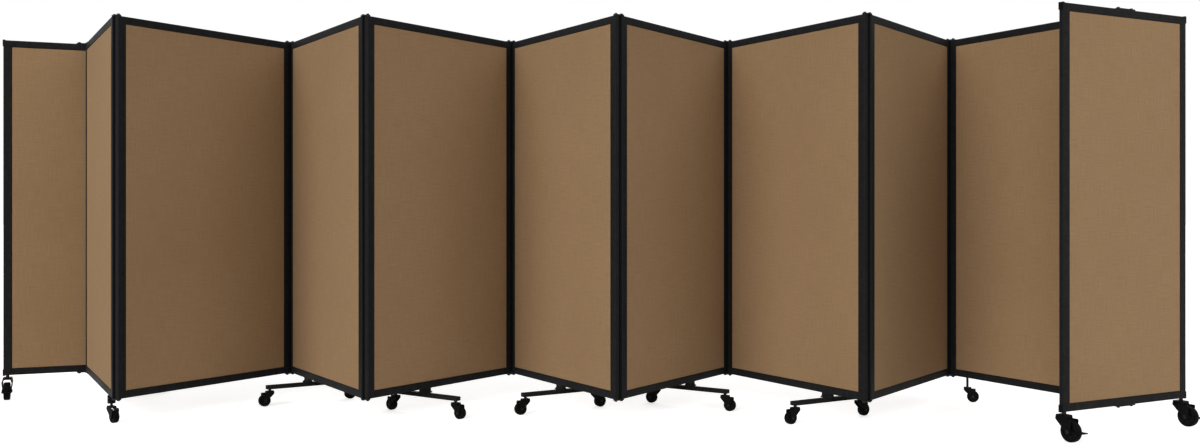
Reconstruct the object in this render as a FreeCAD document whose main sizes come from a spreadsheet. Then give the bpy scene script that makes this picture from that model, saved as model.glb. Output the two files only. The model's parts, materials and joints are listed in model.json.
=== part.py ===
import FreeCAD, Part
import math
import os
import re

import Sketcher

# Folding room divider: nine framed wall panels in a zigzag, a framed end panel across each end,
# a pair of hinge plates at every fold, and casters under T-feet, posts and rails.
# Millimetres, +Z up, the floor at Z = 0, the origin at the middle of the standing divider's outline.
# Panel 1 is the left end panel, panels 2 to 10 are the wall and panel 11 is the right end panel.

V = FreeCAD.Vector
UP = V(0, 0, 1)
LENGTHWISE = V(1, 0, 0)
CROSSWISE = V(0, 1, 0)

doc = FreeCAD.newDocument("room_divider")

SIZES = {
    # panels
    "panel_height": 1422,
    "floor_gap": 102,
    "panel_length": 838,
    "end_length": 660,
    "thickness": 19,
    "post_face": 32,
    "rail_face": 27,
    "edge_bevel": 2.5,
    "board_thickness": 13,
    "groove_depth": 6,
    "groove_gap": 0.05,
    "board_gap": 0.5,
    "cap_height": 24,
    "cap_wall": 2.5,
    "cap_grip": 8,
    # hinges
    "pivot_spacing": 24,
    "pivot_inset": 8,
    "bolt_radius": 3,
    "running_gap": 0.05,
    "plate_thickness": 4,
    "plate_lift": 0.5,
    "plate_reach": 11,
    "plate_corner": 9,
    "head_radius": 5.8,
    "head_height": 4.2,
    "head_lift": 0.4,
    "bracket_half": 46,
    "screw_reach": 35,
    # T-feet
    "foot_length": 350,
    "foot_width": 25,
    "foot_height": 16,
    "foot_drop": 17,
    "foot_bevel": 2,
    "caster_reach": 161,
    "neck_length": 50,
    "neck_base": 18,
    "neck_flare": 10,
    "neck_flare_rise": 6,
    "neck_waist": 8,
    "neck_waist_rise": 11,
    "collar_radius": 14.5,
    "collar_height": 30,
    # the round end of a caster's leg, as shares of its radius
    "boss_broad": 0.96,
    "boss_broad_drop": 0.28,
    "boss_low": 0.5,
    "boss_low_drop": 0.87,
    # small casters
    "small_wheel": 24,
    "small_tread": 20,
    "small_trail": 22,
    "small_nut": 5.5,
    "small_nut_height": 2.5,
    "small_crown": 62,
    "small_lead": 15,
    "small_lead_drop": 10,
    "small_back": 16,
    "small_hood": 33,
    "small_hood_top": 55,
    "small_hood_drop": 9,
    "small_boss": 8,
    "small_top_half": 11,
    "small_arch": 55.5,
    "small_arch_half": 9,
    "small_shoulder": 14,
    "small_shoulder_drop": 7,
    "small_leg": 13.5,
    "small_wall": 2.7,
    "small_stem": 4.8,
    "small_flats": 6.5,
    # large casters
    "large_wheel": 37.5,
    "large_tread": 25,
    "large_bevel": 4,
    "large_trail": 29,
    "large_axle": 5,
    "large_nut": 8,
    "large_nut_height": 4,
    "large_crown": 92,
    "large_lead": 22,
    "large_lead_drop": 15,
    "large_back": 20,
    "large_hood": 43,
    "large_hood_top": 81,
    "large_hood_drop": 12,
    "large_boss": 11,
    "large_top_half": 17,
    "large_arch": 83,
    "large_arch_half": 12,
    "large_shoulder": 21,
    "large_shoulder_drop": 9,
    "large_leg": 16.5,
    "large_wall": 3.3,
    "large_flats": 7.5,
    "pedal_reach": 16,
    "pedal_wall": 2.4,
    "pedal_thick": 3,
    "pedal_gap": 3,
    "pedal_start": 9,
    # the standing pose: how far each panel is turned from the wall's line
    "turn_two": 58.2,
    "turn_three": 59.4,
    "turn_four": 55.4,
    "turn_five": 56.8,
    "turn_six": 56.6,
    "turn_seven": 57.9,
    "turn_eight": 57.7,
    "turn_nine": 55.6,
    "turn_ten": 60.6,
    "turn_left_end": 24.5,
    "turn_right_end": 29.9,
    # where the feet and the single casters stand along their panels
    "foot_step": 0.125,
    "single_inset": 90,
    "single_heading_two": -40,
    "single_heading_ten": -15,
}

sheet = doc.addObject("Spreadsheet::Sheet", "Sizes")
for row, (alias, amount) in enumerate(SIZES.items(), start=1):
    sheet.set(f"A{row}", alias)
    sheet.set(f"B{row}", str(amount))
    sheet.setAlias(f"B{row}", alias)
doc.recompute()


def on_sheet(expression):
    """The expression with each size name pointed at the sheet."""
    return re.sub(r"[a-z][a-z_]*", r"Sizes.\g<0>", str(expression))


def number(expression):
    return float(sheet.evalExpression(on_sheet(expression)))


def bind(obj, path, expression):
    obj.setExpression(path, on_sheet(expression))


def put(piece, x=0, y=0, z=0, axis=UP, turn=0):
    """Places a piece turned about an axis, with its place bound to the sheet."""
    spot = V(number(x), number(y), number(z))
    piece.Placement = FreeCAD.Placement(spot, FreeCAD.Rotation(axis, turn))
    for letter, expression in zip("xyz", (x, y, z)):
        bind(piece, f"Placement.Base.{letter}", expression)
    return piece


# Sketches and features

def new_sketch(body, name, plane):
    sketch = body.newObject("Sketcher::SketchObject", name)
    support = [o for o in body.Origin.OriginFeatures if o.Role == plane + "_Plane"]
    sketch.AttachmentSupport = [(support[0], "")]
    sketch.MapMode = "FlatFace"
    return sketch


def hold(sketch, kind, *terms):
    """Adds a constraint whose last term is an expression of sheet sizes."""
    *points, expression = terms
    index = sketch.addConstraint(Sketcher.Constraint(kind, *points, number(expression)))
    bind(sketch, f"Constraints[{index}]", expression)


def outline(body, name, plane, corners):
    """A closed straight-sided outline, each corner held at a place taken from the sheet."""
    sketch = new_sketch(body, name, plane)
    spots = [V(number(x), number(y), 0) for x, y in corners]
    for start, end in zip(spots, spots[1:] + spots[:1]):
        sketch.addGeometry(Part.LineSegment(start, end), False)
    for i, (x, y) in enumerate(corners):
        before = (i - 1) % len(corners)
        sketch.addConstraint(Sketcher.Constraint("Coincident", before, 2, i, 1))
        hold(sketch, "DistanceX", -1, 1, i, 1, x)
        hold(sketch, "DistanceY", -1, 1, i, 1, y)
    return sketch


def both_sides(half):
    """An outline from its half on the positive first axis, with the mirrored half added."""
    return half + [(f"-({x})", y) for x, y in reversed(half)]


def both_ways(half):
    """An outline from its half on the positive second axis, with the mirrored half added."""
    return half + [(x, f"-({y})") for x, y in reversed(half)]


def prism(name, plane, corners, length, centred=False):
    body = doc.addObject("PartDesign::Body", name)
    sketch = outline(body, name + "_outline", plane, corners)
    pad = body.newObject("PartDesign::Pad", name + "_pad")
    pad.Profile = sketch
    pad.SideType = "Symmetric" if centred else "One side"
    bind(pad, "Length", length)
    return body


def drill(body, name, places, radius):
    """Round holes right through the body, up from its base plane."""
    sketch = new_sketch(body, name + "_circles", "XY")
    for i, (x, y) in enumerate(places):
        sketch.addGeometry(Part.Circle(V(number(x), number(y), 0), UP, number(radius)), False)
        hold(sketch, "DistanceX", -1, 1, i, 3, x)
        hold(sketch, "DistanceY", -1, 1, i, 3, y)
        hold(sketch, "Radius", i, radius)
    pocket = body.newObject("PartDesign::Pocket", name)
    pocket.Profile = sketch
    pocket.Reversed = True
    pocket.Type = "ThroughAll"
    return body


def cylinder(name, radius, height):
    rod = doc.addObject("Part::Cylinder", name)
    bind(rod, "Radius", radius)
    bind(rod, "Height", height)
    return rod


def hexagon(name, radius, height):
    head = doc.addObject("Part::Prism", name)
    head.Polygon = 6
    bind(head, "Circumradius", radius)
    bind(head, "Height", height)
    return head


def boolean(kind, name, base, tool):
    result = doc.addObject(kind, name)
    result.Base = base
    result.Tool = tool
    result.Refine = True
    return result


def group(name, pieces):
    bundle = doc.addObject("Part::Compound", name)
    bundle.Links = pieces
    return bundle


# Panel frames: two posts and two rails of grooved bar, with the board seated in the grooves

TOP = "floor_gap + panel_height"
HALF_THICK = "thickness / 2"
HALF_GROOVE = "board_thickness / 2 + groove_gap"


def post(name):
    """An upright, bevelled on its outer corners and grooved for the board along its inner side."""
    groove_floor = "post_face - groove_depth"
    half = [("0", f"{HALF_THICK} - edge_bevel"), ("edge_bevel", HALF_THICK), ("post_face", HALF_THICK),
            ("post_face", HALF_GROOVE), (groove_floor, HALF_GROOVE)]
    return prism(name, "XY", both_ways(half), "panel_height")


def rail(name, length):
    """A cross bar with the board's groove along its upper side."""
    groove_floor = "rail_face - groove_depth"
    half = [(HALF_THICK, "0"), (HALF_THICK, "rail_face"), (HALF_GROOVE, "rail_face"),
            (HALF_GROOVE, groove_floor)]
    return prism(name, "YZ", both_sides(half), f"{length} - 2 * post_face")


def board(name, length):
    """The flat infill board, let into the grooves on all four sides."""
    slab = doc.addObject("Part::Box", name)
    hidden = "groove_depth - board_gap"
    bind(slab, "Length", f"{length} - 2 * (post_face - ({hidden}))")
    bind(slab, "Width", "board_thickness")
    bind(slab, "Height", f"panel_height - 2 * (rail_face - ({hidden}))")
    return slab


def frame_bars(name, length, left):
    """Both posts and both rails of a frame whose left end is at the given place."""
    right = f"{left} + {length}"
    between = f"{left} + post_face"
    return [put(post(f"{name}_left_post"), x=left, z="floor_gap"),
            put(post(f"{name}_right_post"), x=right, z="floor_gap", turn=180),
            put(rail(f"{name}_bottom_rail", length), x=between, z="floor_gap"),
            put(rail(f"{name}_top_rail", length), x=between, z=TOP, axis=LENGTHWISE, turn=180)]


def seated_board(name, length, left):
    hidden = "groove_depth - board_gap"
    return put(board(name, length), x=f"{left} + post_face - ({hidden})", y="-board_thickness / 2",
               z=f"floor_gap + rail_face - ({hidden})")


# Pivots: at the top, bolts on the posts through bores in the hinge plates and the end brackets.
# At the bottom the bolts are fixed in the plates and turn inside the posts, so only their heads show.

HALF_LINK = "pivot_spacing / 2"


def pivot_bolt(name, x):
    """A shank that stands on a post's end, with a hexagon head clear of the plate that turns on it."""
    grip = "plate_lift + plate_thickness + head_lift"
    shank = cylinder(f"{name}_shank", "bolt_radius", grip)
    head = put(hexagon(f"{name}_head", "head_radius", "head_height"), z=grip)
    return put(boolean("Part::Fuse", name, shank, head), x=x, z=TOP)


def heads_on(name, places, base):
    """Bolt heads standing on a plate."""
    return [put(hexagon(f"{name}_{i}", "head_radius", "head_height"), x=x, y=y, z=base)
            for i, (x, y) in enumerate(places, start=1)]


def hinge_plate(name):
    """The plate that joins two posts, cut off at the corners."""
    tip = f"{HALF_LINK} + plate_reach"
    half = [(f"{tip} - plate_corner", "-plate_reach"), (tip, "plate_corner - plate_reach"),
            (tip, "plate_reach - plate_corner"), (f"{tip} - plate_corner", "plate_reach")]
    return prism(name, "XY", both_sides(half), "plate_thickness")


def hinge_plates():
    """The bored plate above the posts and the plate with its own bolts below them."""
    pivots = [(f"-{HALF_LINK}", "0"), (HALF_LINK, "0")]
    upper = drill(hinge_plate("upper_plate"), "upper_plate_bores", pivots, "bolt_radius + running_gap")
    put(upper, z=f"{TOP} + plate_lift")
    lower = group("lower_plate_set",
                  [hinge_plate("lower_plate")] + heads_on("lower_bolt", pivots, "plate_thickness"))
    put(lower, z="floor_gap - plate_lift", axis=LENGTHWISE, turn=180)
    return [upper, lower]


def end_bracket(name, bored):
    """The T-shaped plate along an end panel's rail, relieved under the ear, with its screws and pivot."""
    ear = "pivot_spacing + plate_reach"
    deep = "plate_lift + plate_thickness"
    pivot = [("0", "pivot_spacing")]
    half = [("bracket_half", f"-{HALF_THICK}"), ("bracket_half", HALF_THICK), ("plate_reach", HALF_THICK),
            ("plate_reach", f"{ear} - plate_corner"), ("plate_reach - plate_corner", ear)]
    plate = prism(f"{name}_plate", "XY", both_sides(half), deep)
    heads = [("-screw_reach", "0"), ("screw_reach", "0")]
    if bored:
        drill(plate, f"{name}_bore", pivot, "bolt_radius + running_gap")
    else:
        heads += pivot
    relief = doc.addObject("Part::Box", f"{name}_relief")
    bind(relief, "Length", "2 * bracket_half")
    bind(relief, "Width", ear)
    bind(relief, "Height", "plate_lift")
    put(relief, x="-bracket_half", y=HALF_THICK)
    return group(f"{name}_set", [boolean("Part::Cut", name, plate, relief)]
                 + heads_on(f"{name}_screw", heads, deep))


# End caps: corner pieces over the ends of the end panels' posts

def end_cap(name):
    """A corner piece that laps over a post's top and down its outer side."""
    corners = [("-cap_wall", "cap_wall"), ("-cap_wall", "-cap_height"), ("0", "-cap_height"), ("0", "0"),
               ("cap_grip", "0"), ("cap_grip", "cap_wall")]
    return prism(name, "XZ", corners, "thickness", centred=True)


def cap_pair(name, x, outward):
    """The caps on the top and the bottom of one post, whose outer side faces left or right."""
    top_turn, bottom_axis = (0, LENGTHWISE) if outward < 0 else (180, CROSSWISE)
    return [put(end_cap(f"{name}_top"), x=x, z=TOP, turn=top_turn),
            put(end_cap(f"{name}_bottom"), x=x, z="floor_gap", axis=bottom_axis, turn=180)]


# T-feet, and the collar around the stem of the single caster under panel 2

def foot_bar():
    """The bar across the panel, bevelled along its upper edges."""
    half = [("foot_width / 2", "0"), ("foot_width / 2", "foot_height - foot_bevel"),
            ("foot_width / 2 - foot_bevel", "foot_height")]
    bar = prism("foot_bar", "XZ", both_sides(half), "foot_length", centred=True)
    return put(bar, z="floor_gap - foot_drop - foot_height")


def foot_neck():
    """The waisted block between the rail and the bar."""
    half = [("neck_base", "0"), ("neck_flare", "neck_flare_rise"), ("neck_waist", "neck_waist_rise"),
            (HALF_THICK, "foot_drop")]
    neck = prism("foot_neck", "YZ", both_sides(half), "neck_length", centred=True)
    return put(neck, z="floor_gap - foot_drop")


def stem_collar():
    """The socket that stands down from the rail around a single caster's stem."""
    return put(cylinder("stem_collar", "collar_radius", "collar_height"), z="floor_gap - collar_height")


# Casters, about their own swivel axis: the wheel trails along +X and the axle lies along Y

def yoke(kind):
    """The fork: its side outline and its front outline, each as a prism, in common."""
    def named(corners):
        return [tuple(term.replace("@", f"{kind}_") for term in corner) for corner in corners]

    side = named([("-@lead", "@crown"), ("-@lead", "@crown - @lead_drop"),
                  ("@trail - boss_broad * @boss", "@wheel - boss_broad_drop * @boss"),
                  ("@trail - boss_low * @boss", "@wheel - boss_low_drop * @boss"),
                  ("@trail + boss_low * @boss", "@wheel - boss_low_drop * @boss"),
                  ("@trail + boss_broad * @boss", "@wheel - boss_broad_drop * @boss"),
                  ("@hood", "@hood_top - @hood_drop"), ("@hood", "@hood_top"),
                  ("@back", "@hood_top"), ("@back", "@crown")])
    front = named([("@arch_half", "@arch"), ("@shoulder - @wall", "@arch - @shoulder_drop"),
                   ("@leg - @wall", "@wheel"), ("@leg - @wall", "0"), ("@leg", "0"), ("@leg", "@wheel"),
                   ("@shoulder", "@arch - @shoulder_drop"), ("@top_half", "@crown")])
    past_both_legs = f"3 * {kind}_shoulder"
    past_both_ends = f"3 * {kind}_hood"
    broad = prism(f"{kind}_fork_side", "XZ", side, past_both_legs, centred=True)
    deep = prism(f"{kind}_fork_front", "YZ", both_sides(front), past_both_ends, centred=True)
    return boolean("Part::Common", f"{kind}_yoke", broad, deep)


def nuts(kind):
    """The axle's nuts, one on the outside of each leg."""
    pair = []
    for side, sign in (("near", -1), ("far", 1)):
        nut = hexagon(f"{kind}_{side}_nut", f"{kind}_nut", f"{kind}_nut_height")
        pair.append(put(nut, x=f"{kind}_trail", y=f"{sign} * {kind}_leg", z=f"{kind}_wheel",
                        axis=LENGTHWISE, turn=-90 * sign))
    return pair


def long_stem(name, top):
    """The round stem of a single caster, up to whatever carries it."""
    return put(cylinder(name, "small_stem", f"{top} - small_crown"), z="small_crown")


def wrench_flats(kind, top):
    """The hexagon of a short stem, the only part of it that shows between the crown and its socket."""
    flats = hexagon(f"{kind}_stem_flats", f"{kind}_flats", f"{top} - {kind}_crown")
    return put(flats, z=f"{kind}_crown")


def axled_yoke(shared_yoke):
    """The large yoke with the round axle that its wheel runs on."""
    axle = cylinder("large_axle", "large_axle", "2 * large_leg - large_wall")
    put(axle, x="large_trail", y="large_leg - large_wall / 2", z="large_wheel", axis=LENGTHWISE, turn=90)
    return boolean("Part::Fuse", "large_axled_yoke", shared_yoke, axle)


def wheel(kind, half_profile):
    """A wheel about its own centre, its half profile turned about Y."""
    body = doc.addObject("PartDesign::Body", f"{kind}_caster_wheel")
    sketch = outline(body, f"{kind}_wheel_profile", "XY", both_ways(half_profile))
    turned = body.newObject("PartDesign::Revolution", f"{kind}_wheel_turned")
    turned.Profile = sketch
    axis = [o for o in body.Origin.OriginFeatures if o.Role == "Y_Axis"]
    turned.ReferenceAxis = (axis[0], [""])
    turned.Angle = 360
    return body


def brake_pedal():
    """The U-shaped pedal behind a large wheel, its arms flat against the fork's legs."""
    start = "large_trail + pedal_start"
    back = "large_trail + large_wheel + pedal_gap"
    outer = "large_leg + pedal_wall"
    half = [(back, "large_leg"), (start, "large_leg"), (start, outer),
            (f"{back} + pedal_reach - pedal_wall", outer), (f"{back} + pedal_reach", "large_leg")]
    plate = prism("brake_pedal", "XY", both_ways(half), "pedal_thick")
    return put(plate, z="large_wheel - pedal_thick / 2")


# The parts that repeat, each made once and used by every panel or caster that has it

LEFT_END, RIGHT_END = 1, 11
WALL = range(LEFT_END + 1, RIGHT_END)
MIDDLE = 6
FOOTED = range(4, 9)
COUNT_WORDS = ("two", "three", "four", "five", "six", "seven", "eight", "nine", "ten")
END_LEFT = "-end_length / 2"
POST_MIDDLE = "end_length / 2 - post_face / 2"
LEFT_PIVOT = "pivot_inset"
RIGHT_PIVOT = "panel_length - pivot_inset"

# single casters stand near the fold that each of these two panels shares with the wall
SINGLES = {2: "panel_length - single_inset", 10: "single_inset"}

wall_bars = frame_bars("wall", "panel_length", "0")
wall_bolts = [pivot_bolt("left_pivot_bolt", LEFT_PIVOT), pivot_bolt("right_pivot_bolt", RIGHT_PIVOT)]
wall_board = seated_board("wall_board", "panel_length", "0")
end_bars = frame_bars("end", "end_length", END_LEFT)
end_board = seated_board("end_board", "end_length", END_LEFT)
end_caps = cap_pair("left_cap", END_LEFT, -1) + cap_pair("right_cap", "end_length / 2", 1)
end_brackets = [put(end_bracket("top_bracket", bored=True), z=TOP),
                put(end_bracket("bottom_bracket", bored=False), z="floor_gap", axis=CROSSWISE, turn=180)]
link = hinge_plates()
bar, neck, collar = foot_bar(), foot_neck(), stem_collar()

small_yoke, large_yoke = yoke("small"), yoke("large")
small_fork = [small_yoke] + nuts("small")
foot_fork = small_fork + [wrench_flats("small", "floor_gap - foot_drop - foot_height")]
single_forks = {2: small_fork + [long_stem("collar_stem", "floor_gap - collar_height")],
                10: small_fork + [long_stem("rail_stem", "floor_gap")]}
post_fork = [axled_yoke(large_yoke), wrench_flats("large", "floor_gap"), brake_pedal()] + nuts("large")
wheels = {
    "small": wheel("small", [("0", "small_tread / 2"), ("small_wheel", "small_tread / 2")]),
    "large": wheel("large", [("large_axle + running_gap", "large_tread / 2"),
                             ("large_wheel - large_bevel", "large_tread / 2"),
                             ("large_wheel", "large_tread / 2 - large_bevel")]),
}


# Where everything stands, worked out from the middle panel outwards

def along(degrees):
    return V(math.cos(math.radians(degrees)), math.sin(math.radians(degrees)), 0)


SPAN = number(f"{RIGHT_PIVOT} - {LEFT_PIVOT}")
LINK = number("pivot_spacing")
turns = {k: (-1) ** (k + 1) * number(f"turn_{COUNT_WORDS[k - 2]}") for k in WALL}


def plate_turn(k):
    """A plate stands square to the post nearer the middle, on the side where the next panel folds flat."""
    holder = k if k >= MIDDLE else k + 1
    side = 90 if (turns[k] < 0) == (k >= MIDDLE) else -90
    return turns[holder] + side


link_turns = {k: plate_turn(k) for k in list(WALL)[:-1]}
left_pivots = {MIDDLE: along(turns[MIDDLE]) * (-SPAN / 2)}
for k in range(MIDDLE, WALL[-1]):
    left_pivots[k + 1] = left_pivots[k] + along(turns[k]) * SPAN + along(link_turns[k]) * LINK
for k in range(MIDDLE - 1, WALL[0] - 1, -1):
    left_pivots[k] = left_pivots[k + 1] - along(link_turns[k]) * LINK - along(turns[k]) * SPAN
right_pivots = {k: left_pivots[k] + along(turns[k]) * SPAN for k in WALL}


def standing(spot, turn):
    return FreeCAD.Placement(spot, FreeCAD.Rotation(UP, turn))


def reached_from(pivot, turn):
    """An end panel's place: its bracket reaches from its own middle to the neighbour's pivot."""
    return standing(pivot - along(turn + 90) * LINK, turn)


panel_places = {k: standing(left_pivots[k] - along(turns[k]) * number(LEFT_PIVOT), turns[k]) for k in WALL}
turns[LEFT_END] = number("turn_left_end") + 180
turns[RIGHT_END] = number("turn_right_end")
panel_places[LEFT_END] = reached_from(left_pivots[WALL[0]], turns[LEFT_END])
panel_places[RIGHT_END] = reached_from(right_pivots[WALL[-1]], turns[RIGHT_END])

nodes = []


def node(label, pieces, place):
    """One named part of the finished divider."""
    part = group(label, pieces)
    part.Placement = place
    nodes.append(part)


def caster(label, kind, pieces, place, loose_wheel=True):
    """A caster's fork and wheel as two parts, or as one where the wheel stays with the fork."""
    centre = FreeCAD.Placement(V(number(f"{kind}_trail"), 0, number(f"{kind}_wheel")), FreeCAD.Rotation())
    if loose_wheel:
        node(f"{label}_fork", pieces, place)
        node(f"{label}_wheel", [wheels[kind]], place.multiply(centre))
    else:
        seated = put(group(f"{label}_seated_wheel", [wheels[kind]]), x=f"{kind}_trail", z=f"{kind}_wheel")
        node(label, pieces + [seated], place)


for k in WALL:
    pieces = wall_bars + wall_bolts
    if k == 2:
        pieces = pieces + [put(group("placed_collar", [collar]), x=SINGLES[2])]
    if k in FOOTED:
        foot = put(group(f"foot_{COUNT_WORDS[k - 2]}", [bar, neck]), x=f"panel_length * foot_step * {k - 2}")
        pieces = pieces + [foot]
    node(f"panel_{k}_frame", pieces, panel_places[k])
    node(f"panel_{k}_board", [wall_board], panel_places[k])

for k in (LEFT_END, RIGHT_END):
    node(f"panel_{k}_frame", end_bars + end_caps + end_brackets, panel_places[k])
    node(f"panel_{k}_board", [end_board], panel_places[k])

for k, turn in link_turns.items():
    middle = (right_pivots[k] + left_pivots[k + 1]) / 2
    node(f"hinge_{k}_{k + 1}", link, standing(middle, turn))

for k in FOOTED:
    for side, sign in (("front", -1), ("back", 1)):
        spot = V(number(f"panel_length * foot_step * {k - 2}"), sign * number("caster_reach"), 0)
        place = standing(panel_places[k].multVec(spot), turns[k] + sign * 90)
        caster(f"caster_{k}_{side}", "small", foot_fork, place)

for k, x in SINGLES.items():
    spot = panel_places[k].multVec(V(number(x), 0, 0))
    heading = number(f"single_heading_{COUNT_WORDS[k - 2]}")
    caster(f"caster_{k}", "small", single_forks[k], standing(spot, heading), loose_wheel=False)

# the end panels' wheels trail to the front, which is the bracket's side on the left end panel only
for k, facing in ((LEFT_END, 1), (RIGHT_END, -1)):
    for side, sign in (("left", facing), ("right", -facing)):
        spot = panel_places[k].multVec(V(sign * number(POST_MIDDLE), 0, 0))
        caster(f"caster_{k}_{side}", "large", post_fork, standing(spot, turns[k] + facing * 90))

# The origin goes to the middle of the whole outline on the floor
doc.recompute()
box = FreeCAD.BoundBox()
for part in nodes:
    box.add(part.Shape.BoundBox)
shift = V(-box.Center.x, -box.Center.y, 0)
for part in nodes:
    part.Placement.Base += shift
doc.recompute()

# Every feature is sound and every cut removes material before the parts are written
for obj in doc.Objects:
    if "Invalid" in obj.State or "Error" in obj.State:
        raise RuntimeError(f"{obj.Label} did not build")
    if obj.TypeId == "PartDesign::Pocket" and obj.Shape.Volume >= obj.BaseFeature.Shape.Volume:
        raise RuntimeError(f"{obj.Label} cuts nothing")

os.makedirs("parts", exist_ok=True)
for part in nodes:
    if part.Shape.isNull() or not part.Shape.isValid():
        raise RuntimeError(f"{part.Label} has no sound shape")
    part.Shape.exportStep(f"parts/{part.Label}.step")
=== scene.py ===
import json
import math

import bmesh
import bpy
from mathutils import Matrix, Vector

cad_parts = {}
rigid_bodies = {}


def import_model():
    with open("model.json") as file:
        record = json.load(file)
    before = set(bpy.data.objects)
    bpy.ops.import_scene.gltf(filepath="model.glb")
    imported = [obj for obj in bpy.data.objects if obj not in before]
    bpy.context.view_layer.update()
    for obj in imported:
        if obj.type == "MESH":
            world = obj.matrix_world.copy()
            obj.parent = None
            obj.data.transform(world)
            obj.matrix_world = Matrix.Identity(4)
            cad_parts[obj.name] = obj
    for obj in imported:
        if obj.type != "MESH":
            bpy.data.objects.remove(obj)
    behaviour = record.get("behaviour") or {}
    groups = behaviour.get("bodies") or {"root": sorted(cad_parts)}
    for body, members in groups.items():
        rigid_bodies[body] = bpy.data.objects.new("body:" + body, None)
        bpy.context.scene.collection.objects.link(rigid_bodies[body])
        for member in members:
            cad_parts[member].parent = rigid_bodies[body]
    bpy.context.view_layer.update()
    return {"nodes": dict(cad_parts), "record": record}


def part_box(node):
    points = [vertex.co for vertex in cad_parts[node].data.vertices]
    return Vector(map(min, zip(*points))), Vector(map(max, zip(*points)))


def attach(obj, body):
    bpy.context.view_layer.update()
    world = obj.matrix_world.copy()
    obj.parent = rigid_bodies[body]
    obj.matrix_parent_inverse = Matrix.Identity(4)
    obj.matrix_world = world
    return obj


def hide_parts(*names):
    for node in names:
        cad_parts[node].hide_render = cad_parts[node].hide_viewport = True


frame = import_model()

MM = 0.001
PANELS = range(1, 12)
# Each fold has the number of the panel on its left
FOLDS = range(2, 10)
BEHAVIOUR = frame["record"]["behaviour"]
NODE_BODY = {node: body for body, nodes in BEHAVIOUR["bodies"].items() for node in nodes}


# Nodes of materials and of the world

# The colour sockets of a Mix node, which share their names with its other sockets
MIX_AMOUNT = 0
MIX_FIRST = 6
MIX_SECOND = 7
MIX_RESULT = 2
WHITE = (1, 1, 1, 1)


class Nodes:
    """Short ways to add and join the nodes of one tree."""

    def __init__(self, tree):
        self.tree = tree

    def add(self, kind, inputs=None, **settings):
        node = self.tree.nodes.new(kind)
        for name, value in settings.items():
            setattr(node, name, value)
        for name, value in (inputs or {}).items():
            self.set(node.inputs[name], value)
        return node

    def set(self, socket, value):
        """Joins a socket to another node's output, or gives it a value of its own."""
        if isinstance(value, bpy.types.NodeSocket):
            self.tree.links.new(value, socket)
        else:
            socket.default_value = value

    def combine(self, operation, first, second):
        """One value from two, by the named operation."""
        return self.add("ShaderNodeMath", {0: first, 1: second}, operation=operation).outputs[0]

    def spread(self, value, low, high, start=0.0, end=1.0):
        """Maps the range start to end of a value onto low to high."""
        inputs = {"Value": value, "From Min": start, "From Max": end, "To Min": low, "To Max": high}
        return self.add("ShaderNodeMapRange", inputs).outputs[0]

    def looked_at(self):
        """1 for what the camera sees, also in a reflection or through a surface, and 0 for light."""
        path = self.add("ShaderNodeLightPath")
        seen = path.outputs["Is Camera Ray"]
        for name in ("Is Glossy Ray", "Is Transmission Ray"):
            seen = self.combine("MAXIMUM", seen, path.outputs[name])
        return seen


class Paint(Nodes):
    """A new node material and its shader."""

    def __init__(self, name):
        self.material = bpy.data.materials.new(name)
        self.material.use_nodes = True
        super().__init__(self.material.node_tree)
        self.shader = self.tree.nodes["Principled BSDF"]

    def give(self, **values):
        """Sets or joins the shader's own sockets, with the spaces of their names written as underscores."""
        for name, value in values.items():
            self.set(self.shader.inputs[name.replace("_", " ")], value)

    def place(self, kind, finer=(1, 1, 1)):
        """Object or UV places in metres, multiplied along each axis."""
        spots = self.add("ShaderNodeTexCoord")
        return self.add("ShaderNodeMapping", {"Vector": spots.outputs[kind], "Scale": finer}).outputs[0]

    def noise(self, place, scale=1.0, detail=2.0, roughness=0.5):
        inputs = {"Vector": place, "Scale": scale, "Detail": detail, "Roughness": roughness}
        return self.add("ShaderNodeTexNoise", inputs).outputs["Fac"]

    def waves(self, place, scale, distortion, direction):
        inputs = {"Vector": place, "Scale": scale, "Distortion": distortion}
        node = self.add("ShaderNodeTexWave", inputs, bands_direction=direction, wave_profile="SIN")
        return node.outputs["Fac"]

    def mix(self, amount, first, second):
        """Blends two colours."""
        first, second = ((*c, 1) if isinstance(c, tuple) else c for c in (first, second))
        inputs = {MIX_AMOUNT: amount, MIX_FIRST: first, MIX_SECOND: second}
        return self.add("ShaderNodeMix", inputs, data_type="RGBA").outputs[MIX_RESULT]

    def bump(self, height, distance, strength, under=None):
        inputs = {"Height": height, "Distance": distance, "Strength": strength}
        if under is not None:
            inputs["Normal"] = under
        return self.add("ShaderNodeBump", inputs).outputs[0]

    def edges(self, low, high):
        """Nought on flats and one on the sharp outer edges."""
        return self.spread(self.add("ShaderNodeNewGeometry").outputs["Pointiness"], 0.0, 1.0, low, high)


# Materials

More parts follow.
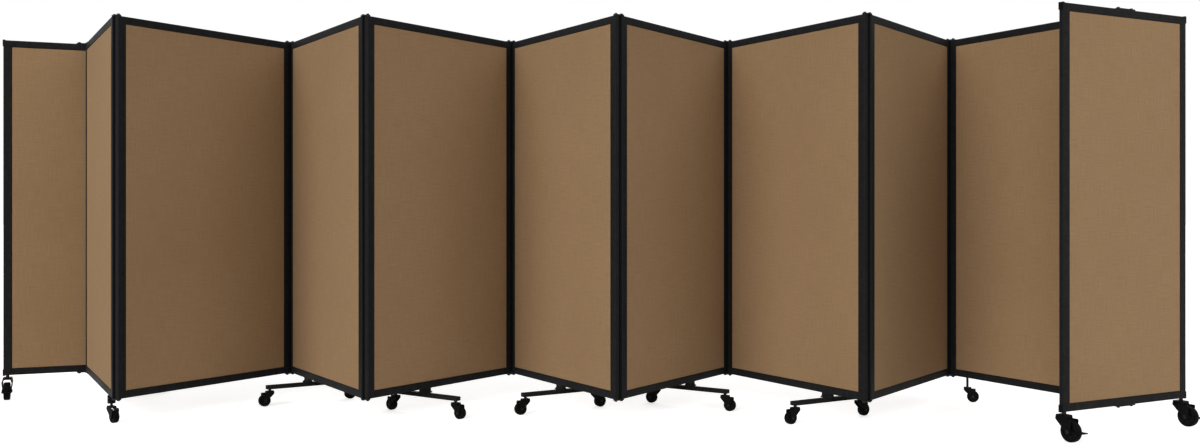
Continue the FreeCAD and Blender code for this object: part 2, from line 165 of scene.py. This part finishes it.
def woven_fabric():
    """Panel fabric: plain weave with uneven thread, a little darker and lighter in drifts, painted shade
    between threads.
    """
    dark_thread, light_thread = (0.250, 0.149, 0.074), (0.345, 0.222, 0.119)
    # The last of these colours is painted shade for the hollows between the threads
    pale_fleck, dark_drift, gap_painted_shade = (0.359, 0.236, 0.132), (0.237, 0.140, 0.069), (0.153, 0.088, 0.041)
    slubs_along, slubs_across = 12, 620
    threads = 190.0
    paint = Paint("panel_fabric")
    flat = paint.place("UV")
    level = paint.noise(paint.place("UV", finer=(slubs_along, slubs_across, 1)), detail=3.0, roughness=0.6)
    upright = paint.noise(paint.place("UV", finer=(slubs_across, slubs_along, 1)), detail=3.0, roughness=0.6)
    thread = paint.combine("ADD", level, upright)
    warp = paint.waves(flat, threads, distortion=0.6, direction="X")
    weft = paint.waves(flat, threads, distortion=0.6, direction="Y")
    weave = paint.combine("MULTIPLY", warp, weft)
    drift = paint.noise(flat, scale=2.2, detail=4.0, roughness=0.55)
    fleck = paint.noise(flat, scale=160.0, detail=4.0, roughness=0.65)
    colour = paint.mix(paint.spread(thread, 0.0, 1.0, start=0.78, end=1.22), dark_thread, light_thread)
    colour = paint.mix(paint.spread(fleck, 0.0, 0.5, start=0.35, end=0.7), colour, pale_fleck)
    colour = paint.mix(paint.spread(drift, 0.0, 0.22, start=0.4, end=0.75), colour, dark_drift)
    # Painted shade: darker between the threads of the weave
    colour = paint.mix(paint.spread(weave, 0.16, 0.0), colour, gap_painted_shade)
    fine = paint.bump(weave, distance=0.0004, strength=0.35)
    slub = paint.bump(thread, distance=0.0006, strength=0.30, under=fine)
    paint.give(Base_Color=colour, Roughness=paint.spread(fleck, 0.82, 0.96), Normal=slub)
    paint.give(Sheen_Weight=0.03, Sheen_Roughness=0.5, Specular_IOR_Level=0.04)
    return paint.material


def powder_coat():
    """Black powder coat on the frame bars, brackets and feet, worn a shade lighter along the edges."""
    dark, light, worn = (0.0098, 0.0098, 0.0103), (0.0125, 0.0125, 0.0132), (0.036, 0.036, 0.035)
    paint = Paint("black_powder_coat")
    spot = paint.place("Object")
    peel = paint.noise(spot, scale=620.0, roughness=0.55)
    speck = paint.noise(spot, scale=2400.0, detail=1.0)
    haze = paint.noise(spot, scale=9.0, detail=4.0, roughness=0.6)
    patches = paint.noise(spot, scale=55.0, detail=4.0, roughness=0.7)
    knocks = paint.spread(patches, 0.0, 1.0, start=0.42, end=0.68)
    scuff = paint.combine("MULTIPLY", paint.edges(low=0.52, high=0.60), knocks)
    colour = paint.mix(haze, dark, light)
    colour = paint.mix(paint.spread(scuff, 0.0, 0.4), colour, worn)
    peeled = paint.bump(peel, distance=0.00012, strength=0.40)
    paint.give(Base_Color=colour, Specular_IOR_Level=0.03)
    paint.give(Roughness=paint.spread(haze, 0.52, 0.64, start=0.3, end=0.7))
    paint.give(Normal=paint.bump(speck, distance=0.00005, strength=0.35, under=peeled))
    return paint.material


def dark_steel():
    """Blackened steel of the hinge plates, bolts, screws, nuts and caster stems."""
    dark, light, bare = (0.006, 0.006, 0.0065), (0.012, 0.012, 0.0125), (0.070, 0.068, 0.066)
    paint = Paint("blackened_steel")
    brush = paint.noise(paint.place("Object", finer=(60, 60, 1400)), detail=3.0, roughness=0.6)
    bloom = paint.noise(paint.place("Object"), scale=70.0, detail=5.0, roughness=0.62)
    patches = paint.spread(bloom, 0.0, 1.0, start=0.40, end=0.62)
    rub = paint.combine("MULTIPLY", paint.edges(low=0.52, high=0.62), patches)
    colour = paint.mix(bloom, dark, light)
    colour = paint.mix(paint.spread(rub, 0.0, 0.6), colour, bare)
    paint.give(Base_Color=colour, Metallic=0.35, Specular_IOR_Level=0.08)
    paint.give(Roughness=paint.spread(brush, 0.34, 0.54, start=0.25, end=0.75))
    paint.give(Normal=paint.bump(brush, distance=0.00006, strength=0.30))
    return paint.material


def moulded_plastic():
    """Black moulded plastic of the caster forks, pedals, post caps, collar and beads, with a fine grain."""
    dark, light, rubbed = (0.0024, 0.0024, 0.0026), (0.0044, 0.0044, 0.0047), (0.020, 0.020, 0.020)
    paint = Paint("black_moulded_plastic")
    spot = paint.place("Object")
    grain = paint.add("ShaderNodeTexVoronoi", {"Vector": spot, "Scale": 1500.0}).outputs["Distance"]
    cloud = paint.noise(spot, scale=28.0, detail=4.0, roughness=0.6)
    rub = paint.combine("MULTIPLY", paint.edges(low=0.52, high=0.60), cloud)
    colour = paint.mix(cloud, dark, light)
    colour = paint.mix(paint.spread(rub, 0.0, 0.35), colour, rubbed)
    paint.give(Base_Color=colour, Specular_IOR_Level=0.03)
    paint.give(Roughness=paint.spread(cloud, 0.42, 0.56, start=0.3, end=0.7))
    paint.give(Normal=paint.bump(grain, distance=0.00008, strength=0.30))
    return paint.material


def tread_rubber():
    """Black rubber of the tyres and seals: matt, a little dusty, with fine moulding scratches."""
    clean, dusty = (0.0022, 0.0022, 0.0023), (0.0060, 0.0058, 0.0056)
    paint = Paint("black_tyre_rubber")
    dust = paint.noise(paint.place("Object"), scale=95.0, detail=5.0, roughness=0.65)
    scratch = paint.noise(paint.place("Object", finer=(900, 900, 120)))
    colour = paint.mix(paint.spread(dust, 0.0, 1.0, start=0.38, end=0.72), clean, dusty)
    paint.give(Base_Color=colour, Specular_IOR_Level=0.03)
    paint.give(Roughness=paint.spread(dust, 0.55, 0.80, start=0.3, end=0.7))
    paint.give(Normal=paint.bump(scratch, distance=0.00008, strength=0.25))
    return paint.material


def rim_plastic():
    """Charcoal plastic of the wheel centres."""
    dark, light = (0.0032, 0.0032, 0.0034), (0.0056, 0.0056, 0.0060)
    paint = Paint("charcoal_wheel_centre")
    spot = paint.place("Object")
    cloud = paint.noise(spot, scale=60.0, detail=4.0, roughness=0.6)
    grain = paint.noise(spot, scale=1800.0, detail=1.0)
    paint.give(Base_Color=paint.mix(cloud, dark, light), Specular_IOR_Level=0.05)
    paint.give(Roughness=paint.spread(cloud, 0.36, 0.50, start=0.3, end=0.7))
    paint.give(Normal=paint.bump(grain, distance=0.00006, strength=0.25))
    return paint.material


def core_board():
    """Grey-brown pressed fibre of the boards behind the fabric."""
    dark, light, shade = (0.150, 0.120, 0.088), (0.235, 0.190, 0.140), (0.12, 0.098, 0.074)
    paint = Paint("pressed_fibre_board")
    fibre = paint.noise(paint.place("Object", finer=(260, 260, 900)), detail=4.0, roughness=0.7)
    cloud = paint.noise(paint.place("Object"), scale=14.0, detail=3.0)
    colour = paint.mix(fibre, dark, light)
    colour = paint.mix(paint.spread(cloud, 0.0, 0.3), colour, shade)
    paint.give(Base_Color=colour, Roughness=0.9)
    paint.give(Normal=paint.bump(fibre, distance=0.0004, strength=0.4))
    return paint.material


FABRIC = woven_fabric()
COAT = powder_coat()
STEEL = dark_steel()
PLASTIC = moulded_plastic()
RUBBER = tread_rubber()
RIM = rim_plastic()
CORE = core_board()


# Meshes

# Edges that turn by more than this are shaded as sharp
SHADED_SHARP = math.radians(48)
# Edges of the solids that turn by more than this are rounded off
ROUNDED_OFF = math.radians(26)
# Faces that turn by less than this are joined into one
FLAT = math.radians(0.5)
# Decimals of a metre to which the solids' corners are compared
DECIMALS = 6


def new_piece(name, bm, materials, body):
    """A smooth-shaded object from a mesh under construction, on its body."""
    mesh = bpy.data.meshes.new(name)
    for face in bm.faces:
        face.smooth = True
    for edge in bm.edges:
        edge.smooth = edge.calc_face_angle(0.0) < SHADED_SHARP
    bm.to_mesh(mesh)
    bm.free()
    for material in materials:
        mesh.materials.append(material)
    piece = bpy.data.objects.new(name, mesh)
    bpy.context.scene.collection.objects.link(piece)
    normals = piece.modifiers.new("flat faces stay flat", "WEIGHTED_NORMAL")
    normals.keep_sharp = True
    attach(piece, body)
    return piece


def plan_turn(spots):
    """The middle of some places, and the plan angle along which they spread furthest."""
    middle = sum(spots, Vector()) / len(spots)
    across = sum((s.x - middle.x) ** 2 for s in spots)
    deep = sum((s.y - middle.y) ** 2 for s in spots)
    both = sum((s.x - middle.x) * (s.y - middle.y) for s in spots)
    return middle, math.atan2(2 * both, across - deep) / 2


def solids(node):
    """The separate solids of a CAD node, each as a list of faces that are lists of places."""
    mesh = frame["nodes"][node].data
    spots = [tuple(round(c, DECIMALS) for c in v.co) for v in mesh.vertices]
    owner = list(range(len(mesh.polygons)))

    def top(i):
        """The face that stands for the group of face i."""
        while owner[i] != i:
            owner[i] = owner[owner[i]]
            i = owner[i]
        return i

    seen = {}
    for poly in mesh.polygons:
        ring = [spots[i] for i in poly.vertices]
        for edge in zip(ring, ring[1:] + ring[:1]):
            other = seen.setdefault(tuple(sorted(edge)), poly.index)
            owner[top(poly.index)] = top(other)
    groups = {}
    for poly in mesh.polygons:
        groups.setdefault(top(poly.index), []).append([spots[i] for i in poly.vertices])
    return list(groups.values())


def soften(faces, width, paint_index):
    """One solid as a closed mesh with its sharp edges rounded."""
    bm = bmesh.new()
    corners = {}
    for ring in faces:
        for spot in ring:
            if spot not in corners:
                corners[spot] = bm.verts.new(spot)
        face = [corners[spot] for spot in ring]
        if len(set(face)) == len(face) and bm.faces.get(face) is None:
            bm.faces.new(face).material_index = paint_index
    bmesh.ops.recalc_face_normals(bm, faces=bm.faces)
    bmesh.ops.dissolve_limit(bm, angle_limit=FLAT, verts=bm.verts, edges=bm.edges)
    sharp = [e for e in bm.edges if e.is_manifold and e.calc_face_angle() > ROUNDED_OFF]
    bmesh.ops.bevel(bm, geom=sharp, offset=width, offset_type="OFFSET", segments=2, profile=0.5,
                    affect="EDGES", clamp_overlap=True, material=-1)
    return bm


def spans(faces):
    """The low and high corner of one solid."""
    spots = [spot for ring in faces for spot in ring]
    return Vector(map(min, zip(*spots))), Vector(map(max, zip(*spots)))


def softened(node, width, materials, choose, skip=None):
    """A copy of a CAD node with softly rounded edges, which stands for it."""
    whole = bmesh.new()
    for faces in solids(node):
        if skip and skip(faces):
            continue
        one = soften(faces, width, materials.index(choose(*spans(faces))))
        shape = bpy.data.meshes.new("one solid")
        one.to_mesh(shape)
        one.free()
        whole.from_mesh(shape)
        bpy.data.meshes.remove(shape)
    piece = new_piece(node + "_soft", whole, materials, NODE_BODY[node])
    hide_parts(node)


class Panel:
    """A panel's place, read from its board: its middle, the way along it and the way out of its front."""

    def __init__(self, number):
        self.number = number
        self.frame = f"panel_{number}_frame"
        self.board = f"panel_{number}_board"
        self.body = f"panel_{number}"
        spots = [v.co for v in frame["nodes"][self.board].data.vertices]
        self.middle, turn = plan_turn(spots)
        self.along = Vector((math.cos(turn), math.sin(turn), 0))
        self.out = Vector((math.sin(turn), -math.cos(turn), 0))
        self.half_length = max((s - self.middle).dot(self.along) for s in spots)
        self.half_depth = max((s - self.middle).dot(self.out) for s in spots)
        self.half_height = max(s.z - self.middle.z for s in spots)

    def spot(self, across, up, depth, side):
        """A place on the panel's front (side 1) or back (side -1), depth above the board's face."""
        return (self.middle + self.along * across + Vector((0, 0, up))
                + self.out * side * (self.half_depth + depth))


# Fabric, stretched over both faces of each board up to the frame's edge

# How far the boards reach into the frames' grooves, and the gap between a sheet and the frame
GROOVE = 5.5 * MM
EDGE_GAP = 0.25 * MM
# The sheet's thickness, and the height of its outside above the board at its edge and in its middle
CLOTH = 0.4 * MM
EDGE_LIFT = 0.55 * MM
MIDDLE_LIFT = 1.75 * MM
# The rolled edge: millimetres in from the edge, and the share of the rise that is reached there
ROLL = ((0.0, 0.0), (0.6, 0.34), (1.4, 0.58), (2.6, 0.76), (4.5, 0.88), (8.0, 0.95), (16.0, 1.0))
# About how far apart the places are away from the edges
STEP = 48 * MM
# How far the weave moves on from panel to panel, in metres, so that no two panels look alike
WEAVE_SHIFT = 2


def stations(half):
    """Places from edge to edge, close together near both edges, with how far the cloth has risen at each."""
    near = [(distance * MM, rise) for distance, rise in ROLL]
    inner = half - near[-1][0]
    count = max(2, round(2 * inner / STEP))
    middle = [(-inner + 2 * inner * i / count, 1.0) for i in range(1, count)]
    left = [(-half + distance, rise) for distance, rise in near]
    right = [(half - distance, rise) for distance, rise in reversed(near)]
    return left + middle + right


def fabric(panel, side):
    """A thin closed sheet on a panel's front (side 1) or back (side -1)."""
    half_wide = panel.half_length - GROOVE - EDGE_GAP
    half_tall = panel.half_height - GROOVE - EDGE_GAP
    columns, rows = stations(half_wide), stations(half_tall)
    bm = bmesh.new()
    uv = bm.loops.layers.uv.new("threads")
    threads = {}
    sheets = []
    for below in (0.0, CLOTH):
        grid = []
        for across, rise_a in columns:
            grid.append([])
            for up, rise_b in rows:
                lift = EDGE_LIFT + (MIDDLE_LIFT - EDGE_LIFT) * rise_a * rise_b - below
                corner = bm.verts.new(panel.spot(across, up, lift, side))
                threads[corner] = (across + WEAVE_SHIFT * panel.number, up + panel.middle.z)
                grid[-1].append(corner)
        sheets.append(grid)
    outer, inner = sheets
    last_i, last_j = len(columns) - 1, len(rows) - 1
    for i in range(last_i):
        for j in range(last_j):
            for grid in sheets:
                bm.faces.new((grid[i][j], grid[i + 1][j], grid[i + 1][j + 1], grid[i][j + 1]))
    rim = ([(i, 0) for i in range(last_i)] + [(last_i, j) for j in range(last_j)]
           + [(i, last_j) for i in range(last_i, 0, -1)] + [(0, j) for j in range(last_j, 0, -1)])
    for (i, j), (m, n) in zip(rim, rim[1:] + rim[:1]):
        bm.faces.new((outer[i][j], outer[m][n], inner[m][n], inner[i][j]))
    bmesh.ops.recalc_face_normals(bm, faces=bm.faces)
    for face in bm.faces:
        for loop in face.loops:
            loop[uv].uv = threads[loop.vert]
    place = "front" if side > 0 else "back"
    piece = new_piece(f"fabric_{panel.number}_{place}", bm, [FABRIC], panel.body)


# The thin dark bead that closes the frame's edge against the fabric, and also stands in for the shadow line
# there

# Its section: millimetres in from the sheet's edge, and above the board's face
BEAD = ((0.0, 0.72), (0.0, 2.5), (0.55, 2.42), (1.05, 2.15), (1.4, 1.75), (1.5, 1.35))


def bead(panel):
    """The beads of a panel's front and back, as one piece."""
    bm = bmesh.new()
    for side in (1, -1):
        rings = []
        for inset, lift in BEAD:
            wide = panel.half_length - GROOVE - EDGE_GAP - inset * MM
            tall = panel.half_height - GROOVE - EDGE_GAP - inset * MM
            corners = ((-wide, -tall), (wide, -tall), (wide, tall), (-wide, tall))
            rings.append([bm.verts.new(panel.spot(a, u, lift * MM, side)) for a, u in corners])
        for ring, following in zip(rings, rings[1:] + rings[:1]):
            for i in range(len(ring)):
                j = (i + 1) % len(ring)
                bm.faces.new((ring[i], ring[j], following[j], following[i]))
    bmesh.ops.recalc_face_normals(bm, faces=bm.faces)
    new_piece(f"bead_{panel.number}", bm, [PLASTIC], panel.body)


# Seals at the folds: a cupped strip on one post, and a half-round nose on the post that turns

# The heights where the strips end, half a post's depth, and the distance from pivot to nose foot
POST_FOOT = 103 * MM
POST_TOP = 1523 * MM
POST_SIDE = 9.5 * MM
POST_END = 8.0 * MM
# The hollow's radius about the pivot, half its width, and how far back and how deep its lip lies
CUP_RADIUS = 11.35 * MM
CUP_RIM = 5.4 * MM
CUP_LIP = 7.0 * MM
LIP_DROP = 9.8 * MM
# The nose's radius about the pivot, half the width of its foot, and half its arc in degrees
NOSE_RADIUS = 10.9 * MM
NOSE_HALF = 6.9 * MM
NOSE_SPREAD = 36
# Corners along either arc
ARC_STEPS = 9


def strip(name, outline, body):
    """A straight strip up a post, from its outline in plan."""
    bm = bmesh.new()
    low, high = ([bm.verts.new((x, y, z)) for x, y, _ in outline] for z in (POST_FOOT, POST_TOP))
    for i in range(len(low)):
        j = (i + 1) % len(low)
        bm.faces.new((low[i], low[j], high[j], high[i]))
    bm.faces.new(reversed(low))
    bm.faces.new(high)
    bmesh.ops.recalc_face_normals(bm, faces=bm.faces)
    new_piece(name, bm, [RUBBER], body)


def seals(fold, holder, turner, pivot):
    """Both strips of one fold, from the pivot and the panels that meet there."""
    reach = pivot - holder.middle
    along = holder.along * math.copysign(1, reach.dot(holder.along))
    across = holder.out * math.copysign(1, reach.dot(holder.out))
    post = reach.dot(across) - POST_SIDE
    cup = [pivot - along * CUP_LIP - across * post, pivot - along * CUP_LIP - across * LIP_DROP]
    for i in range(ARC_STEPS):
        side = CUP_RIM * (2 * i / (ARC_STEPS - 1) - 1)
        cup.append(pivot + along * side - across * math.sqrt(CUP_RADIUS ** 2 - side ** 2))
    cup.append(pivot + along * CUP_RIM - across * post)
    strip(f"seal_cup_{fold}", cup, holder.body)
    back = pivot - turner.middle
    end = turner.along * math.copysign(1, back.dot(turner.along))
    nose = [pivot + end * POST_END - turner.out * NOSE_HALF]
    for i in range(ARC_STEPS):
        angle = math.radians(NOSE_SPREAD * (2 * i / (ARC_STEPS - 1) - 1))
        nose.append(pivot + (end * math.cos(angle) + turner.out * math.sin(angle)) * NOSE_RADIUS)
    nose.append(pivot + end * POST_END + turner.out * NOSE_HALF)
    strip(f"seal_nose_{fold}", nose, turner.body)


# Wheels, turned from a half profile, with ribs between hub and rim

# Profiles from the middle or the bore out to the tread: shares of the radius and of half the width
SMALL_WHEEL = ((0.0, 0.80), (0.22, 0.80), (0.27, 0.74), (0.30, 0.52), (0.62, 0.52), (0.66, 0.58),
               (0.68, 0.84), (0.71, 0.90), (0.76, 0.90), (0.78, 0.84), (0.80, 0.86), (0.88, 0.98),
               (0.94, 0.97), (0.975, 0.86), (0.992, 0.68), (1.0, 0.40))
LARGE_WHEEL = ((0.16, 0.92), (0.24, 0.92), (0.27, 0.86), (0.30, 0.50), (0.64, 0.50), (0.68, 0.56),
               (0.70, 0.82), (0.73, 0.88), (0.77, 0.88), (0.79, 0.82), (0.81, 0.86), (0.88, 0.98),
               (0.935, 0.97), (0.97, 0.86), (0.99, 0.68), (1.0, 0.40))
# Points of both profiles: the hub's edge, the start of the thin web, and the foot of the rim
HUB_EDGE = 2
WEB_START = 3
RIM_FOOT = 5
# The share of the radius where the tyre starts, and the corners around a wheel
TYRE_STARTS = 0.785
ROUND = 72
# Ribs on each side: their number, half their thickness, and their ends a little within hub and rim
RIBS = 6
RIB_HALF = 0.025
INTO_HUB = 0.97
INTO_RIM = 1.01
# How far the ribs sink into the web, and rise from it at the rim and at the hub
RIB_SINK = 0.06
RISE_AT_RIM = 0.16
RISE_AT_HUB = 0.22


def ribs(bm, profile, spot):
    """Adds the ribs of both sides to a wheel's mesh, with spot giving its places."""
    hub = profile[HUB_EDGE][0] * INTO_HUB
    rim = profile[RIM_FOOT][0] * INTO_RIM
    web = profile[WEB_START][1]
    outline = ((hub, web - RIB_SINK), (rim, web - RIB_SINK),
               (rim, web + RISE_AT_RIM), (hub, web + RISE_AT_HUB))
    for side in (1, -1):
        for k in range(RIBS):
            angle = 2 * math.pi * k / RIBS
            block = []
            for out, off in outline:
                turns = (angle - RIB_HALF / out, angle + RIB_HALF / out)
                block.append([bm.verts.new(spot(out, side * off, turn)) for turn in turns])
            for (a, b), (c, d) in zip(block, block[1:] + block[:1]):
                bm.faces.new((a, b, d, c))
            bm.faces.new([pair[0] for pair in block])
            bm.faces.new([pair[1] for pair in reversed(block)])


def wheel(name, faces, profile, body):
    """A wheel in the place of a plain disc, whose faces give its middle, axle, radius and width."""
    low, high = spans(faces)
    spots = [Vector(spot) for ring in faces for spot in ring]
    _, turn = plan_turn(spots)
    middle = (low + high) / 2
    axle = Vector((-math.sin(turn), math.cos(turn), 0))
    ahead = Vector((math.cos(turn), math.sin(turn), 0))
    radius = (high.z - low.z) / 2
    half = max((s - middle).dot(axle) for s in spots)

    def spot(out, off, angle):
        """A place at shares of the radius and of half the width, turned about the axle."""
        way = ahead * math.cos(angle) + Vector((0, 0, math.sin(angle)))
        return middle + axle * off * half + way * out * radius

    bm = bmesh.new()
    line = list(profile) + [(out, -off) for out, off in reversed(profile)]
    rings = []
    for out, off in line:
        if out == 0.0:
            rings.append([bm.verts.new(spot(out, off, 0.0))] * ROUND)
        else:
            rings.append([bm.verts.new(spot(out, off, 2 * math.pi * i / ROUND)) for i in range(ROUND)])
    if line[0][0] > 0.0:
        rings.append(rings[0])
        line.append(line[0])
    for (out, _), (other, _), ring, following in zip(line, line[1:], rings, rings[1:]):
        for i in range(ROUND):
            j = (i + 1) % ROUND
            corners = list(dict.fromkeys((ring[i], ring[j], following[j], following[i])))
            if len(corners) > 2:
                bm.faces.new(corners).material_index = 1 if min(out, other) >= TYRE_STARTS else 0
    ribs(bm, profile, spot)
    bmesh.ops.recalc_face_normals(bm, faces=bm.faces)
    return new_piece(name, bm, [RIM, RUBBER], body)


# The pieces of the divider

# How far the edges of each kind of piece are rounded
FRAME_ROUNDING = 0.7 * MM
HINGE_ROUNDING = 0.45 * MM
CASTER_ROUNDING = 0.5 * MM
# Below this width a solid is a bolt, screw, nut or stem, and below the next two sizes a cap or collar
FASTENER_WIDTH = 18 * MM
CAP_HEIGHT = 31 * MM
CAP_WIDTH = 50 * MM
# A caster's solid that starts below this height is a wheel, and a wheel that ends above the next is large
NEAR_FLOOR = 1 * MM
LARGE_TOP = 60 * MM


def is_fastener(low, high):
    return max(high.x - low.x, high.y - low.y) < FASTENER_WIDTH


def is_cap(low, high):
    return high.z - low.z < CAP_HEIGHT and max(high.x - low.x, high.y - low.y) < CAP_WIDTH


def frame_paint(low, high):
    if is_fastener(low, high):
        return STEEL
    if is_cap(low, high):
        return PLASTIC
    return COAT


def caster_paint(low, high):
    return STEEL if is_fastener(low, high) else PLASTIC


def on_floor(faces):
    return spans(faces)[0].z < NEAR_FLOOR


panels = [Panel(number) for number in PANELS]
for panel in panels:
    softened(panel.frame, FRAME_ROUNDING, [COAT, STEEL, PLASTIC], frame_paint)
    board = frame["nodes"][panel.board].data
    board.materials.clear()
    board.materials.append(CORE)
    for side in (1, -1):
        fabric(panel, side)
    bead(panel)

for fold in FOLDS:
    softened(f"hinge_{fold}_{fold + 1}", HINGE_ROUNDING, [STEEL], lambda low, high: STEEL)

by_body = {panel.body: panel for panel in panels}
for joint in BEHAVIOUR["joints"]:
    if joint["name"].startswith("fold_"):
        fold = joint["name"].removeprefix("fold_")
        seals(fold, by_body[joint["parent"]], by_body[joint["child"]], Vector(joint["pos_m"]))

for node in sorted(frame["nodes"]):
    if node.endswith("_wheel"):
        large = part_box(node)[1][2] > LARGE_TOP
        profile = LARGE_WHEEL if large else SMALL_WHEEL
        faces = [face for solid in solids(node) for face in solid]
        piece = wheel(node + "_turned", faces, profile, NODE_BODY[node])
        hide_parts(node)
    elif node.startswith("caster_"):
        softened(node, CASTER_ROUNDING, [PLASTIC, STEEL], caster_paint, on_floor)
        for faces in filter(on_floor, solids(node)):
            wheel(node + "_turned_wheel", faces, SMALL_WHEEL, NODE_BODY[node])


# Floor, light and camera

# Half the floor's width, its distance below the wheels, its grey and its glow
FLOOR_HALF = 60.0
FLOOR_DROP = 0.2 * MM
FLOOR_GREY = (0.80, 0.80, 0.80, 1)
FLOOR_GLOW = 0.68
# Light from the dome at the sides and from overhead
SIDE_LIGHT = 0.03
TOP_LIGHT = 0.06
# The camera's place, its turn up from looking straight down, and its turn to the left
CAMERA_PLACE = (0.3065, -4.5929, 0.8025)
LEVEL = math.radians(90)
CAMERA_TURN = math.radians(1.787)


def floor():
    """A wide grey floor just under the wheels, which also glows where it is looked at."""
    bm = bmesh.new()
    corners = ((-1, -1), (1, -1), (1, 1), (-1, 1))
    bm.faces.new([bm.verts.new((x * FLOOR_HALF, y * FLOOR_HALF, -FLOOR_DROP)) for x, y in corners])
    mesh = bpy.data.meshes.new("floor")
    bm.to_mesh(mesh)
    bm.free()
    piece = bpy.data.objects.new("floor", mesh)
    bpy.context.scene.collection.objects.link(piece)
    paint = Paint("white_floor")
    matt = paint.add("ShaderNodeBsdfDiffuse", {"Color": FLOOR_GREY})
    glow = paint.add("ShaderNodeEmission", {"Color": WHITE, "Strength": FLOOR_GLOW})
    both = paint.add("ShaderNodeAddShader", {0: matt.outputs[0], 1: glow.outputs[0]})
    shown = {0: paint.looked_at(), 1: matt.outputs[0], 2: both.outputs[0]}
    seen = paint.add("ShaderNodeMixShader", shown)
    paint.set(paint.tree.nodes["Material Output"].inputs["Surface"], seen.outputs[0])
    paint.tree.nodes.remove(paint.shader)
    mesh.materials.append(paint.material)


def world():
    """White where it is looked at, and for light a dome that is brighter overhead than at the sides."""
    sky = bpy.data.worlds.new("studio")
    sky.use_nodes = True
    bpy.context.scene.world = sky
    studio = Nodes(sky.node_tree)
    studio.tree.nodes.clear()
    way = studio.add("ShaderNodeTexCoord").outputs["Generated"]
    up = studio.add("ShaderNodeSeparateXYZ", {"Vector": way}).outputs["Z"]
    dome = {"Color": WHITE, "Strength": studio.spread(up, SIDE_LIGHT, TOP_LIGHT)}
    fill = studio.add("ShaderNodeBackground", dome)
    plain = studio.add("ShaderNodeBackground", {"Color": WHITE, "Strength": 1.0})
    shown = {0: studio.looked_at(), 1: fill.outputs[0], 2: plain.outputs[0]}
    seen = studio.add("ShaderNodeMixShader", shown)
    studio.add("ShaderNodeOutputWorld", {"Surface": seen.outputs[0]})


def lamp(name, towards, strength, spread):
    """A sun that shines in one direction, with soft shadows from a disc of so many degrees."""
    data = bpy.data.lights.new(name, "SUN")
    data.energy = strength
    data.angle = math.radians(spread)
    piece = bpy.data.objects.new(name, data)
    piece.rotation_euler = Vector(towards).to_track_quat("-Z", "Y").to_euler()
    bpy.context.scene.collection.objects.link(piece)


def camera():
    """A level camera in front of the divider."""
    data = bpy.data.cameras.new("camera")
    data.sensor_fit = "HORIZONTAL"
    data.sensor_width = 36.0
    data.lens = 34.96
    data.shift_x = -0.0004
    data.shift_y = -0.0094
    data.clip_end = 300.0
    piece = bpy.data.objects.new("camera", data)
    piece.location = CAMERA_PLACE
    piece.rotation_euler = (LEVEL, 0, CAMERA_TURN)
    bpy.context.scene.collection.objects.link(piece)
    bpy.context.scene.camera = piece


floor()
world()
lamp("key", towards=(0.48, 0.74, -0.45), strength=2.45, spread=50)
lamp("right_fill", towards=(-0.62, 0.68, -0.50), strength=0.84, spread=60)
lamp("right_top", towards=(-0.70, 0.05, -0.70), strength=0.46, spread=50)
lamp("back_fill", towards=(-0.10, -0.75, -0.65), strength=1.10, spread=60)
camera()
bpy.context.scene.view_settings.view_transform = "Standard"
